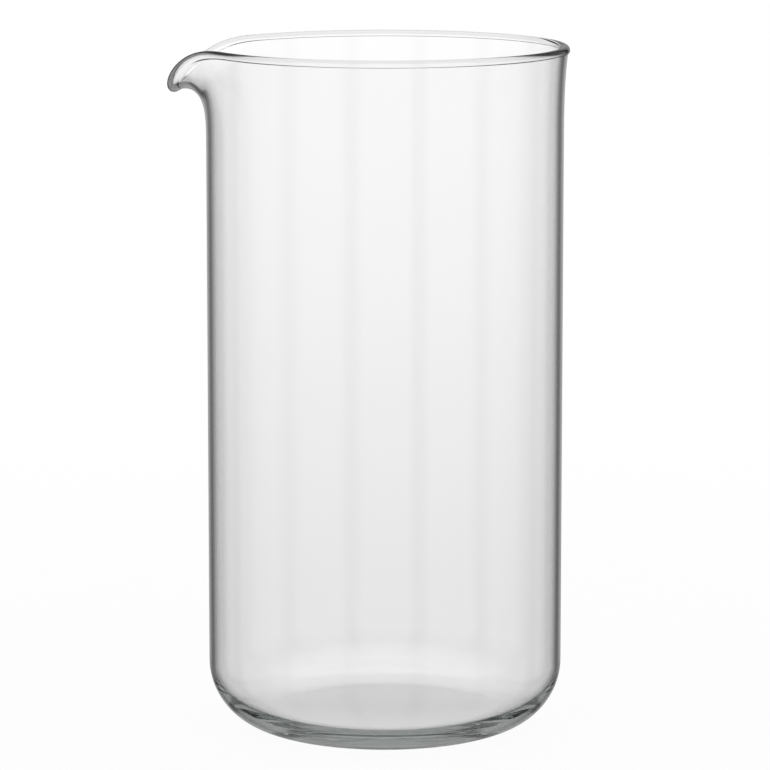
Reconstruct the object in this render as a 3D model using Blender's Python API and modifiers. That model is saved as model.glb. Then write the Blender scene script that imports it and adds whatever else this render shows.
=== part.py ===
"""A clear glass beaker with a drawn-down pouring lip, the spare glass of a plunger coffee maker.

Metres, +Z up. It stands on z = 0 with its axis on Z, and the pouring lip points along -X.
The glass is one wall, thick in the floor and thinner round the heel and up the side, so it is
built from its middle surface: a line is turned about Z, the top of the turned wall is drawn out
into the lip, and the wall is then given its thickness and a fire-polished rim.
"""

import math

import bpy
import numpy as np

# Driving dimensions.
OUTER_RADIUS = 0.0475
HEIGHT = 0.1837
WALL = 0.0020
BASE = 0.0045
BEAD = 0.0026
HEEL_RADIUS = 0.0180
RIM_OUTER_RADIUS = 0.0487

# The pouring lip, measured on the middle of the wall.
LIP_START_BELOW_RIM = 0.0230
LIP_REACH = 0.0094
LIP_DROP = 0.0108
LIP_PINCH = 0.0006
LIP_HALF_ANGLE = math.radians(47.0)
LIP_SHARPNESS = 4.2
RIM_TURN = math.radians(22.0)
LIP_TURN = math.radians(112.0)

# How finely the round shapes are divided.
SEGMENTS = 80
HEEL_STEPS = 6
LIP_STEPS = 9
RIM_STEPS = 3
BEAD_STEPS = 2

MIDDLE_RADIUS = OUTER_RADIUS - WALL / 2
FLAT_RADIUS = OUTER_RADIUS - HEEL_RADIUS
RIM_HEIGHT = HEIGHT - BEAD / 2
RIM_RADIUS = RIM_OUTER_RADIUS - BEAD / 2
LIP_START = RIM_HEIGHT - LIP_START_BELOW_RIM


def clear_scene():
    """Removes everything that the startup scene holds."""
    for obj in list(bpy.data.objects):
        bpy.data.objects.remove(obj, do_unlink=True)


def glass_material():
    """The clear borosilicate glass."""
    material = bpy.data.materials.new("clear_glass")
    material.use_nodes = True
    shader = material.node_tree.nodes["Principled BSDF"]
    shader.inputs["Base Color"].default_value = (0.93, 0.96, 0.95, 1.0)
    shader.inputs["Roughness"].default_value = 0.02
    shader.inputs["IOR"].default_value = 1.473
    shader.inputs["Transmission Weight"].default_value = 1.0
    return material


def thickness(bend):
    """Thickness of the glass round the heel: BASE where bend is 0, at the floor, and WALL at a
    right angle, where the wall stands upright, with the cube of the cosine in between."""
    return WALL + (BASE - WALL) * math.cos(bend) ** 3


def meridian():
    """The middle of the glass from the rim down to the centre of the floor.

    Each point is (radius, height, thickness). The outside of the heel is a quarter of a circle,
    and the middle lies half the thickness inside it. The last BEAD_STEPS below the rim are as
    thick as BEAD, which is what fire polishing leaves; once drawn they cover about 1.4 mm.
    """
    points = []
    for step in range(LIP_STEPS, -1, -1):
        height = LIP_START + LIP_START_BELOW_RIM * step / LIP_STEPS
        thick = BEAD if step >= LIP_STEPS - BEAD_STEPS else WALL
        points.append((MIDDLE_RADIUS, height, thick))
    for step in range(HEEL_STEPS + 1):
        bend = math.pi / 2 * (1 - step / HEEL_STEPS)
        thick = thickness(bend)
        inside = HEEL_RADIUS - thick / 2
        radius = FLAT_RADIUS + inside * math.sin(bend)
        height = HEEL_RADIUS - inside * math.cos(bend)
        points.append((radius, height, thick))
    points.append((0.0, BASE / 2, BASE))
    return points


def turned_sheet(name):
    """The meridian turned about Z, as a mesh with no thickness."""
    points = meridian()
    mesh = bpy.data.meshes.new(name + "_line")
    edges = [(i, i + 1) for i in range(len(points) - 1)]
    mesh.from_pydata([(r, 0.0, z) for r, z, thick in points], edges, [])
    line = bpy.data.objects.new(name + "_line", mesh)
    bpy.context.scene.collection.objects.link(line)
    screw = line.modifiers.new("Turn", "SCREW")
    screw.axis = "Z"
    screw.steps = SEGMENTS
    screw.render_steps = SEGMENTS
    screw.use_merge_vertices = True
    screw.merge_threshold = 0.00001
    graph = bpy.context.evaluated_depsgraph_get()
    sheet = bpy.data.meshes.new_from_object(line.evaluated_get(graph))
    bpy.data.objects.remove(line, do_unlink=True)
    return sheet


def lip_amount(angle):
    """How far the rim is drawn out at this angle from the lip's middle: 1 at the middle, 0 at the sides."""
    across = np.clip(np.abs(angle) / LIP_HALF_ANGLE, 0.0, 1.0)
    return (1.0 - across**2) ** LIP_SHARPNESS


def drawn_wall(along, amount):
    """Radius and height of the wall above LIP_START.

    along runs from 0 where the wall is still straight to 1 at the rim. The line is a cubic that
    leaves upright and arrives at the rim turned outwards. As amount grows from 0 to 1 the rim
    moves out and down a quarter of an ellipse, and its turn grows until the lip hangs over. The
    line runs on past the middle of the rounded rim by half the bead, which the rounding takes off.
    """
    quarter = np.pi / 2 * amount
    reach = LIP_REACH * np.sin(quarter) - LIP_PINCH * np.sin(np.pi * amount)
    rim_out = RIM_RADIUS - MIDDLE_RADIUS + reach
    rim_up = LIP_START_BELOW_RIM - LIP_DROP * (1.0 - np.cos(quarter))
    turn = RIM_TURN + (LIP_TURN - RIM_TURN) * amount
    rim_out = rim_out + BEAD / 2 * np.sin(turn)
    rim_up = rim_up + BEAD / 2 * np.cos(turn)
    leaving = 2.2 * rim_up
    arriving = 2.2 * rim_out
    rise = 3 * along**2 - 2 * along**3
    leave = along**3 - 2 * along**2 + along
    arrive = along**3 - along**2
    radius = MIDDLE_RADIUS + rim_out * rise + arriving * np.sin(turn) * arrive
    height = LIP_START + rim_up * rise + leaving * leave + arriving * np.cos(turn) * arrive
    return radius, height


def weigh_the_glass(beaker):
    """Gives each point the share of BASE that the glass is thick there, found by its height.

    This comes before the lip is drawn, while each height still belongs to one row of points.
    """
    line = sorted({(height, thick) for radius, height, thick in meridian()})
    heights = [height for height, thick in line]
    shares = [thick / BASE for height, thick in line]
    group = beaker.vertex_groups.new(name="glass_thickness")
    for vertex in beaker.data.vertices:
        share = float(np.interp(vertex.co.z, heights, shares))
        group.add([vertex.index], share, "REPLACE")
    return group


def draw_the_lip(sheet):
    """Moves the top of the turned wall into the flared rim and the pouring lip."""
    count = len(sheet.vertices)
    points = np.empty(count * 3)
    sheet.vertices.foreach_get("co", points)
    points = points.reshape(-1, 3)
    along = (points[:, 2] - LIP_START) / LIP_START_BELOW_RIM
    upper = along > 1e-6
    from_lip = np.arctan2(points[upper, 1], -points[upper, 0])
    radius, height = drawn_wall(along[upper], lip_amount(from_lip))
    points[upper, 0] = -radius * np.cos(from_lip)
    points[upper, 1] = radius * np.sin(from_lip)
    points[upper, 2] = height
    sheet.vertices.foreach_set("co", points.ravel())
    sheet.update()


def glass_beaker(collection):
    """The whole beaker as one closed body."""
    name = "glass_beaker"
    sheet = turned_sheet(name)
    sheet.name = name
    beaker = bpy.data.objects.new(name, sheet)
    collection.objects.link(beaker)
    thicknesses = weigh_the_glass(beaker)
    draw_the_lip(sheet)
    beaker.data.materials.clear()
    beaker.data.materials.append(glass_material())
    wall = beaker.modifiers.new("Wall", "SOLIDIFY")
    wall.thickness = BASE
    wall.vertex_group = thicknesses.name
    wall.offset = 0.0
    wall.use_even_offset = True
    wall.use_rim = True
    rim = beaker.modifiers.new("Rim", "BEVEL")
    rim.width = 0.42 * BEAD
    rim.segments = RIM_STEPS
    rim.limit_method = "ANGLE"
    rim.angle_limit = math.radians(70.0)
    beaker.data.shade_smooth()
    beaker.data.set_sharp_from_angle(angle=math.radians(40.0))
    return beaker


def main():
    clear_scene()
    collection = bpy.data.collections.new("plunger_coffee_maker_glass")
    bpy.context.scene.collection.children.link(collection)
    glass_beaker(collection)


main()
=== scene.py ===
"""Looks of a clear glass beaker with a drawn-down pouring lip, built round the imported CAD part.

The beaker is one body of blown borosilicate glass, so it is one fine closed surface here. It
stands in a light tent on a pale floor, with narrow dark cards round it, which draw the dark
lines along the edges of the glass.
"""

import logging
import math
from dataclasses import dataclass
from enum import Enum

import bpy
import numpy as np
from mathutils import Euler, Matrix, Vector


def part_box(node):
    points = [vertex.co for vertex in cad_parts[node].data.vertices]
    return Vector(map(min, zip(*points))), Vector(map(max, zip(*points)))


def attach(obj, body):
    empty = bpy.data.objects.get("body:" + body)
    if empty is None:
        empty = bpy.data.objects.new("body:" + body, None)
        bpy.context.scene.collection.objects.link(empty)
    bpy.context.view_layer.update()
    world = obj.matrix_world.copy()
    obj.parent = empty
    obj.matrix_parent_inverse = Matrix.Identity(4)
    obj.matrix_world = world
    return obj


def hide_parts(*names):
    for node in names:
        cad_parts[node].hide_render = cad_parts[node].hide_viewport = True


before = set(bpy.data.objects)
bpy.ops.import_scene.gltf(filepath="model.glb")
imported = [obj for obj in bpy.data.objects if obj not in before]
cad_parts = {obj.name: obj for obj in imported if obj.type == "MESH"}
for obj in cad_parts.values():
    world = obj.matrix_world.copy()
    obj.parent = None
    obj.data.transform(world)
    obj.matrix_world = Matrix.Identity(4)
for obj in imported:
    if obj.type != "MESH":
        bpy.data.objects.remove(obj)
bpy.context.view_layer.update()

NODE = "glass_beaker"
MM = 0.001
WHITE = (1.0, 1.0, 1.0, 1.0)

log = logging.getLogger("beaker")


class Shell(Enum):
    """The two faces of the glass wall, by the side of the middle surface they lie on."""

    OUTSIDE = 1.0
    INSIDE = -1.0


def linear_colour(code: str) -> tuple[float, float, float, float]:
    """Turns an sRGB hex colour into scene-linear RGBA.

    Args:
        code: six hex digits with or without a leading #.

    Returns:
        The linear red, green and blue, with alpha 1.
    """
    digits = code.lstrip("#")
    srgb = np.array([int(digits[i : i + 2], 16) for i in (0, 2, 4)]) / 255
    linear = np.where(srgb <= 0.04045, srgb / 12.92, ((srgb + 0.055) / 1.055) ** 2.4)
    return (*(float(c) for c in linear), 1.0)


def smooth(value: np.ndarray) -> np.ndarray:
    """The cubic 3v^2 - 2v^3 of value clipped to 0..1, which is level at both ends."""
    v = np.clip(value, 0.0, 1.0)
    return v * v * (3 - 2 * v)


class Nodes:
    """A node tree with one short call for adding a node with its settings and links."""

    def __init__(self, tree: bpy.types.NodeTree) -> None:
        """Empties the tree.

        Args:
            tree: the node tree of a material or a world.
        """
        self.tree = tree
        tree.nodes.clear()

    def add(
        self, kind: str, inputs: dict | None = None, **settings: object
    ) -> bpy.types.Node:
        """Adds one node.

        Args:
            kind: the node's type name.
            inputs: socket name or number to a plain value, or to an output socket to link from.
            **settings: attributes set on the node itself.

        Returns:
            The new node.
        """
        node = self.tree.nodes.new(kind)
        for name, value in settings.items():
            setattr(node, name, value)
        for name, value in (inputs or {}).items():
            if isinstance(value, bpy.types.NodeSocket):
                self.tree.links.new(value, node.inputs[name])
            else:
                node.inputs[name].default_value = value
        return node

    def maths(
        self, operation: str, *values: float | bpy.types.NodeSocket
    ) -> bpy.types.NodeSocket:
        """Adds a Math node and returns its output.

        Args:
            operation: the Math node's operation.
            *values: its inputs in order, each a number or an output socket.

        Returns:
            The node's output socket.
        """
        node = self.add("ShaderNodeMath", dict(enumerate(values)), operation=operation)
        return node.outputs[0]

    def ramp(
        self,
        value: bpy.types.NodeSocket,
        start: tuple[float, float],
        end: tuple[float, float],
    ) -> bpy.types.NodeSocket:
        """Adds a smooth step between two (input, output) pairs and returns its output.

        Args:
            value: the socket that is read.
            start: the input at which the step starts, and the output up to there.
            end: the input at which the step ends, and the output from there on.

        Returns:
            The node's output socket.
        """
        node = self.add(
            "ShaderNodeMapRange",
            {0: value, 1: start[0], 2: end[0], 3: start[1], 4: end[1]},
            interpolation_type="SMOOTHSTEP",
        )
        return node.outputs[0]


@dataclass(frozen=True)
class BorosilicateGlass:
    """Clear fire-polished borosilicate glass.

    Attributes:
        ior: refractive index of the glass at the sodium line.
        roughness: of a fire-polished surface, all but none.
        tint: the colour that the volume lets through.
        density: of that tint, per metre.
        ream_mm: spacing of the slow waves that drawing leaves in the wall.
        ream_height_mm: height of those waves.
        ream_stretch: the noise's scale along the axis, as a share of its scale across it.
    """

    ior: float = 1.473
    roughness: float = 0.0
    tint: str = "#7F8F8C"
    density: float = 7.0
    ream_mm: float = 22.0
    ream_height_mm: float = 0.01
    ream_stretch: float = 0.3

    def material(self) -> bpy.types.Material:
        """Builds the glass.

        The surface is a plain transmitting shader. Its bump is slow noise stretched along the
        axis, like the ream of a drawn tube. The volume absorbs a little more red than green,
        which shows only where the light runs a long way through the heel and the rim.

        Returns:
            The material.
        """
        made = bpy.data.materials.new("borosilicate_glass")
        made.use_nodes = True
        nodes = Nodes(made.node_tree)
        place = nodes.add("ShaderNodeTexCoord")
        stretched = nodes.add(
            "ShaderNodeMapping",
            {"Vector": place.outputs["Object"], "Scale": (1.0, 1.0, self.ream_stretch)},
        )
        ream = nodes.add(
            "ShaderNodeTexNoise",
            {
                "Vector": stretched.outputs["Vector"],
                "Scale": 1 / (self.ream_mm * MM),
                "Detail": 1.0,
                "Roughness": 0.4,
            },
        )
        bump = nodes.add(
            "ShaderNodeBump",
            {
                "Height": ream.outputs["Fac"],
                "Strength": 1.0,
                "Distance": self.ream_height_mm * MM,
            },
        )
        glass = nodes.add(
            "ShaderNodeBsdfPrincipled",
            {
                "Base Color": WHITE,
                "Roughness": self.roughness,
                "IOR": self.ior,
                "Transmission Weight": 1.0,
                "Normal": bump.outputs["Normal"],
            },
        )
        inside = nodes.add(
            "ShaderNodeVolumeAbsorption",
            {"Color": linear_colour(self.tint), "Density": self.density},
        )
        nodes.add(
            "ShaderNodeOutputMaterial",
            {"Surface": glass.outputs[0], "Volume": inside.outputs[0]},
        )
        return made


@dataclass
class Beaker:
    """The blown glass: floor, heel, wall, rim and pouring lip in one closed surface.

    The shape is a middle surface, a function of the way along the wall's line and of the angle
    about Z, with half the wall's thickness laid off on both sides of it and a half round at the
    rim. Lengths are in metres, and the lip points along -X.
    """

    height: float
    rim_radius: float
    lip_radius: float
    radius: float = 47.5 * MM
    wall: float = 2.0 * MM
    base: float = 4.5 * MM
    bead: float = 2.6 * MM
    bead_neck: float = 0.4 * MM
    heel: float = 18.0 * MM
    lip_start_below_rim: float = 23.0 * MM
    lip_drop: float = 10.8 * MM
    lip_pinch: float = 0.6 * MM
    lip_half_angle: float = math.radians(47.0)
    lip_sharpness: float = 4.2
    rim_turn: float = math.radians(22.0)
    lip_turn: float = math.radians(112.0)
    straightness: float = 2.2
    columns: int = 480
    floor_rows: int = 6
    heel_rows: int = 22
    wall_rows: int = 8
    lip_rows: int = 40
    rim_rows: int = 12

    def __post_init__(self) -> None:
        """Works out the middle surface's own sizes from the outside ones."""
        half = self.bead / 2
        self.middle = self.radius - self.wall / 2
        self.flat = self.radius - self.heel
        self.rim_level = self.height - half
        self.lip_start = self.rim_level - self.lip_start_below_rim
        self.rim_out = self.rim_radius - half - self.middle
        self.lip_reach = self.lip_radius - half - self.middle - self.rim_out

    def lip_amount(self, angle: np.ndarray) -> np.ndarray:
        """How far the rim is drawn out: (1 - (angle / half angle)^2) to the lip's sharpness.

        Args:
            angle: angle about Z from the middle of the lip.

        Returns:
            1 at the middle of the lip, falling to 0 at its sides and beyond.
        """
        across = np.clip(np.abs(angle) / self.lip_half_angle, 0.0, 1.0)
        return (1.0 - across**2) ** self.lip_sharpness

    def drawn_line(
        self, along: np.ndarray, amount: np.ndarray
    ) -> tuple[np.ndarray, np.ndarray]:
        """The wall's middle line above the lip's start.

        It is a cubic that leaves upright and arrives at the rim turned outwards. As the amount
        grows from 0 to 1 the rim moves out and down a quarter of an ellipse, and its turn grows
        until the lip hangs over.

        Args:
            along: 0 at the lip's start, 1 at the rim.
            amount: how far the rim is drawn out there.

        Returns:
            The radius and the height.
        """
        quarter = np.pi / 2 * amount
        out = self.rim_out + self.lip_reach * np.sin(quarter)
        out = out - self.lip_pinch * np.sin(np.pi * amount)
        up = self.lip_start_below_rim - self.lip_drop * (1.0 - np.cos(quarter))
        turn = self.rim_turn + (self.lip_turn - self.rim_turn) * amount
        rise = 3 * along**2 - 2 * along**3
        leave = self.straightness * up * (along**3 - 2 * along**2 + along)
        arrive = self.straightness * out * (along**3 - along**2)
        radius = self.middle + out * rise + arrive * np.sin(turn)
        height = self.lip_start + up * rise + leave + arrive * np.cos(turn)
        return radius, height

    def line(self) -> tuple[np.ndarray, np.ndarray, np.ndarray]:
        """The middle line of the floor, heel and straight wall, with the wall's thickness.

        The outside of the heel is a quarter of a circle. The glass thins round it from the
        base's thickness to the wall's with the cube of the cosine of the angle turned through,
        and the middle line lies half the thickness inside.

        Returns:
            Radius, height and thickness, each with one value a row.
        """
        bend = np.linspace(0.0, np.pi / 2, self.heel_rows)
        thick = self.wall + (self.base - self.wall) * np.cos(bend) ** 3
        inside = self.heel - thick / 2
        floor = np.linspace(0.02, 1.0, self.floor_rows, endpoint=False)
        straight = np.linspace(self.heel, self.lip_start, self.wall_rows + 2)[1:-1]
        radius = np.concatenate(
            [
                floor * self.flat,
                self.flat + inside * np.sin(bend),
                np.full(self.wall_rows, self.middle),
            ]
        )
        height = np.concatenate(
            [
                np.full(self.floor_rows, self.base / 2),
                self.heel - inside * np.cos(bend),
                straight,
            ]
        )
        thickness = np.concatenate(
            [
                np.full(self.floor_rows, self.base),
                thick,
                np.full(self.wall_rows, self.wall),
            ]
        )
        return radius, height, thickness

    def middle_surface(self) -> tuple[np.ndarray, np.ndarray]:
        """The middle of the wall, row by row from the floor out to the rim.

        Returns:
            Points as an array of rows by columns by 3, of which the first row stands just off
            the axis, and half the thickness of each row.
        """
        plain_radius, plain_height, plain_thickness = self.line()
        angle = np.linspace(-np.pi, np.pi, self.columns, endpoint=False)
        along = np.linspace(0.0, 1.0, self.lip_rows)
        top_radius, top_height = self.drawn_line(
            along[:, None], self.lip_amount(angle)[None]
        )
        plain = np.stack(self.drawn_line(along, np.zeros(self.lip_rows)), axis=-1)
        steps = np.linalg.norm(np.diff(plain, axis=0), axis=-1)
        below = np.append(np.cumsum(steps[::-1])[::-1], 0.0)
        swell = smooth(1.0 - below / self.bead_neck)
        top_thickness = self.wall + (self.bead - self.wall) * swell
        ones = np.ones(self.columns)
        radius = np.vstack([np.outer(plain_radius, ones), top_radius])
        height = np.vstack([np.outer(plain_height, ones), top_height])
        points = np.stack(
            [-radius * np.cos(angle), -radius * np.sin(angle), height], axis=-1
        )
        return points, np.concatenate([plain_thickness, top_thickness]) / 2

    def directions(self, points: np.ndarray) -> tuple[np.ndarray, np.ndarray]:
        """Unit vectors of the middle surface.

        Args:
            points: the middle surface.

        Returns:
            The normal that points away from the inside of the vessel, at every point, and along
            the last row the direction that leads off the surface at a right angle to the rim.
        """
        up = np.gradient(points, axis=0)
        round_axis = np.roll(points, -1, axis=1) - np.roll(points, 1, axis=1)
        normal = np.cross(round_axis, up)
        normal /= np.linalg.norm(normal, axis=-1, keepdims=True)
        off = np.cross(normal[-1], round_axis[-1])
        off /= np.linalg.norm(off, axis=-1, keepdims=True)
        return normal, off

    def surface(self) -> np.ndarray:
        """The closed surface as rows from the outside of the floor, over the rim, to its inside.

        Returns:
            Points as an array of rows by columns by 3.
        """
        points, half = self.middle_surface()
        normal, off = self.directions(points)
        step = half[:, None, None] * normal
        outside = points + Shell.OUTSIDE.value * step
        inside = points + Shell.INSIDE.value * step
        turn = np.linspace(0.0, np.pi, self.rim_rows + 2)[1:-1, None, None]
        rim = points[-1] + half[-1] * (np.cos(turn) * normal[-1] + np.sin(turn) * off)
        return np.concatenate([outside, rim, inside[::-1]])

    def mesh(self, name: str) -> bpy.types.Mesh:
        """Makes the mesh: quads between neighbouring rows, and a fan to a point on the axis at
        each end.

        Args:
            name: the mesh's name.

        Returns:
            The closed mesh, smooth all over, with its faces pointing out of the glass.
        """
        rows = self.surface()
        count, columns = rows.shape[:2]
        ends = np.array([[0.0, 0.0, rows[0, 0, 2]], [0.0, 0.0, rows[-1, 0, 2]]])
        points = np.vstack([rows.reshape(-1, 3), ends])
        index = np.arange(count * columns).reshape(count, columns)
        beside = np.roll(index, -1, axis=1)
        quads = np.stack([index[:-1], beside[:-1], beside[1:], index[1:]], axis=-1)
        first, last = count * columns, count * columns + 1
        below = np.stack([beside[0], index[0], np.full(columns, first)], axis=-1)
        above = np.stack([index[-1], beside[-1], np.full(columns, last)], axis=-1)
        faces = quads.reshape(-1, 4).tolist() + below.tolist() + above.tolist()
        made = bpy.data.meshes.new(name)
        made.from_pydata(points.tolist(), [], faces)
        made.validate()
        made.shade_smooth()
        return made

    def build(self, finish: BorosilicateGlass) -> bpy.types.Object:
        """Makes the piece, dresses it and hands it to the frame in place of its CAD node.

        Args:
            finish: the glass.

        Returns:
            The beaker.
        """
        piece = bpy.data.objects.new("blown_beaker", self.mesh("blown_beaker"))
        bpy.context.scene.collection.objects.link(piece)
        piece.data.materials.append(finish.material())
        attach(piece, "root")
        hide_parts(NODE)
        return piece


@dataclass
class LightTent:
    """A pale floor in a round white tent with dark cards in it.

    This is arranged light, not one room. What is seen straight through the glass is the even
    white tent, which ends a little above the horizon. What the glass mirrors, inside its wall or
    on its faces, is a dimmer room with eight narrow dark cards, one every 45 degrees, which draw
    the dark lines along the edges of the glass.

    Attributes:
        floor_radius: of the floor, in metres.
        floor_sides: of the floor's outline.
        floor_glow: share of the floor's own glow in the middle, and far out.
        floor_fade: the distances from the middle between which the glow changes, in metres.
        cards: how many dark cards stand round the glass.
        first_card: direction of the first one about Z, from +X. It puts the product camera all
            but midway between two cards, 22 degrees from one and 23 from the other.
        card_edge: where a card's soft edge starts and ends, as the height of the card wave.
        card_light: light from a card.
        room_light: light from the room between the cards.
        tent_light: light from the tent near the horizon.
        above_light: light seen through the glass from above the tent.
        above_step: the heights between which the tent ends.
        ceiling_light: light that the ceiling adds.
        ceiling_step: the heights between which the ceiling's light rises.
        low_light: share of the light that is left below the horizon.
        low_step: the heights between which that share is reached.
        under_light: share of the mirrored light that is left far below the horizon.
        under_step: the heights between which that share is reached.
        bounces: how often light may bounce in all, and off the faces of the glass.
        bounces_through: how often it may pass through a face.

    Each height is the upward part of a direction one unit long.
    """

    floor_radius: float = 6.0
    floor_sides: int = 96
    floor_glow: tuple[float, float] = (0.96, 1.0)
    floor_fade: tuple[float, float] = (0.05, 0.6)
    cards: int = 8
    first_card: float = math.radians(9.5 + 22.0)
    card_edge: tuple[float, float] = (0.5, 0.97)
    card_light: float = 0.1
    room_light: float = 0.42
    tent_light: float = 1.05
    above_light: float = 0.05
    above_step: tuple[float, float] = (0.15, 0.35)
    ceiling_light: float = 1.0
    ceiling_step: tuple[float, float] = (0.5, 0.8)
    low_light: float = 0.82
    low_step: tuple[float, float] = (-0.25, -0.08)
    under_light: float = 0.7
    under_step: tuple[float, float] = (-0.59, -0.41)
    bounces: int = 64
    bounces_through: int = 32

    def world(self) -> bpy.types.World:
        """Builds the tent as the world's light.

        The cards are where the cosine of (number of cards x direction) is high. The tent is a
        little dimmer downwards, and stays pale all the way down. The room is dimmer again far
        below, and the ceiling is one soft light high up. What the camera sees beyond the floor
        is plain white.

        Returns:
            The world.
        """
        made = bpy.data.worlds.new("light_tent")
        made.use_nodes = True
        nodes = Nodes(made.node_tree)
        place = nodes.add("ShaderNodeTexCoord")
        way = nodes.add("ShaderNodeSeparateXYZ", {0: place.outputs["Generated"]})
        azimuth = nodes.maths("ARCTAN2", way.outputs["Y"], way.outputs["X"])
        turned = nodes.maths("SUBTRACT", azimuth, self.first_card)
        wave = nodes.maths("COSINE", nodes.maths("MULTIPLY", turned, float(self.cards)))
        room = nodes.ramp(wave, *zip(self.card_edge, (self.room_light, self.card_light)))
        level = way.outputs["Z"]
        low = nodes.ramp(level, *zip(self.low_step, (self.low_light, 1.0)))
        under = nodes.ramp(level, *zip(self.under_step, (self.under_light, 1.0)))
        over = nodes.ramp(level, *zip(self.above_step, (self.tent_light, self.above_light)))
        behind = nodes.maths("MULTIPLY", low, over)
        near = nodes.maths("MULTIPLY", nodes.maths("MULTIPLY", under, low), room)
        path = nodes.add("ShaderNodeLightPath")
        mirrored = nodes.maths("MINIMUM", path.outputs["Glossy Depth"], 1.0)
        tent = nodes.add(
            "ShaderNodeMix", {0: mirrored, 2: behind, 3: near}, data_type="FLOAT"
        ).outputs[0]
        ceiling = nodes.ramp(level, *zip(self.ceiling_step, (0.0, self.ceiling_light)))
        lit = nodes.maths("ADD", tent, ceiling)
        seen = nodes.add(
            "ShaderNodeMix",
            {0: path.outputs["Is Camera Ray"], 2: lit, 3: 1.0},
            data_type="FLOAT",
        )
        sky = nodes.add(
            "ShaderNodeBackground", {"Color": WHITE, "Strength": seen.outputs[0]}
        )
        nodes.add("ShaderNodeOutputWorld", {"Surface": sky.outputs[0]})
        bpy.context.scene.world = made
        return made

    def disc(self, name: str, radius: float, level: float) -> bpy.types.Object:
        """Makes a flat disc: the points of one circle, as a single face that looks up.

        Args:
            name: the piece's name.
            radius: of the disc, in metres.
            level: its height.

        Returns:
            The disc, linked to the scene.
        """
        sides = self.floor_sides
        turn = np.linspace(0.0, 2 * np.pi, sides, endpoint=False)
        points = np.stack(
            [radius * np.cos(turn), radius * np.sin(turn), np.full(sides, level)], axis=-1
        )
        mesh = bpy.data.meshes.new(name)
        mesh.from_pydata(points.tolist(), [], [tuple(range(sides))])
        piece = bpy.data.objects.new(name, mesh)
        bpy.context.scene.collection.objects.link(piece)
        return piece

    def white(self, name: str, shade: str) -> bpy.types.Material:
        """Makes the floor's white: a matt shade that fades outwards into an even glow.

        Args:
            name: the material's name.
            shade: sRGB hex colour of the matt part.

        Returns:
            The material.
        """
        made = bpy.data.materials.new(name)
        made.use_nodes = True
        nodes = Nodes(made.node_tree)
        place = nodes.add("ShaderNodeTexCoord")
        away = nodes.add(
            "ShaderNodeVectorMath", {0: place.outputs["Object"]}, operation="LENGTH"
        )
        share = nodes.ramp(away.outputs["Value"], *zip(self.floor_fade, self.floor_glow))
        matt = nodes.add("ShaderNodeBsdfDiffuse", {"Color": linear_colour(shade)})
        even = nodes.add("ShaderNodeEmission", {"Color": WHITE})
        both = nodes.add(
            "ShaderNodeMixShader", {0: share, 1: matt.outputs[0], 2: even.outputs[0]}
        )
        nodes.add("ShaderNodeOutputMaterial", {"Surface": both.outputs[0]})
        return made

    def floor(self) -> None:
        """Lays the pale floor.

        It is for the camera alone. What the glass shows below the horizon is the pale tent.
        """
        wide = self.disc("floor", self.floor_radius, 0.0)
        wide.data.materials.append(self.white("lit_table", "#F4F4F2"))
        wide.visible_transmission = False
        wide.visible_glossy = False

    def build(self) -> None:
        """Builds the world's light and the floor, and the plain way they are shown."""
        self.world()
        self.floor()
        scene = bpy.context.scene
        scene.view_settings.view_transform = "Standard"
        scene.cycles.max_bounces = self.bounces
        scene.cycles.transmission_bounces = self.bounces_through
        scene.cycles.glossy_bounces = self.bounces


@dataclass(frozen=True)
class ProductCamera:
    """A long lens that looks at the beaker from the front, a little from above.

    Attributes:
        distance: from the beaker's axis, along the ground.
        height: above the floor.
        pitch: how far it looks down, in radians.
        lens_mm: focal length.
        sensor_mm: width of the sensor.
    """

    azimuth: float = math.radians(9.5)
    distance: float = 1.1602
    height: float = 0.2835
    pitch: float = 0.1631
    lens_mm: float = 205.0
    sensor_mm: float = 36.0

    def build(self) -> bpy.types.Object:
        """Makes the camera and gives it to the scene.

        Returns:
            The camera.
        """
        data = bpy.data.cameras.new("product_camera")
        data.lens = self.lens_mm
        data.sensor_width = self.sensor_mm
        camera = bpy.data.objects.new("product_camera", data)
        bpy.context.scene.collection.objects.link(camera)
        camera.location = Vector(
            (
                self.distance * math.sin(self.azimuth),
                -self.distance * math.cos(self.azimuth),
                self.height,
            )
        )
        camera.rotation_euler = Euler((math.pi / 2 - self.pitch, 0.0, self.azimuth))
        bpy.context.scene.camera = camera
        return camera


def main() -> None:
    """Builds the beaker, the tent and the camera."""
    logging.basicConfig(level=logging.INFO, format="%(name)s: %(message)s")
    low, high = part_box(NODE)
    beaker = Beaker(height=high[2], rim_radius=high[1], lip_radius=-low[0])
    piece = beaker.build(BorosilicateGlass())
    log.info("beaker: %d faces", len(piece.data.polygons))
    LightTent().build()
    log.info("light tent and floor")
    ProductCamera().build()
    log.info("camera")


if __name__ == "__main__":
    main()
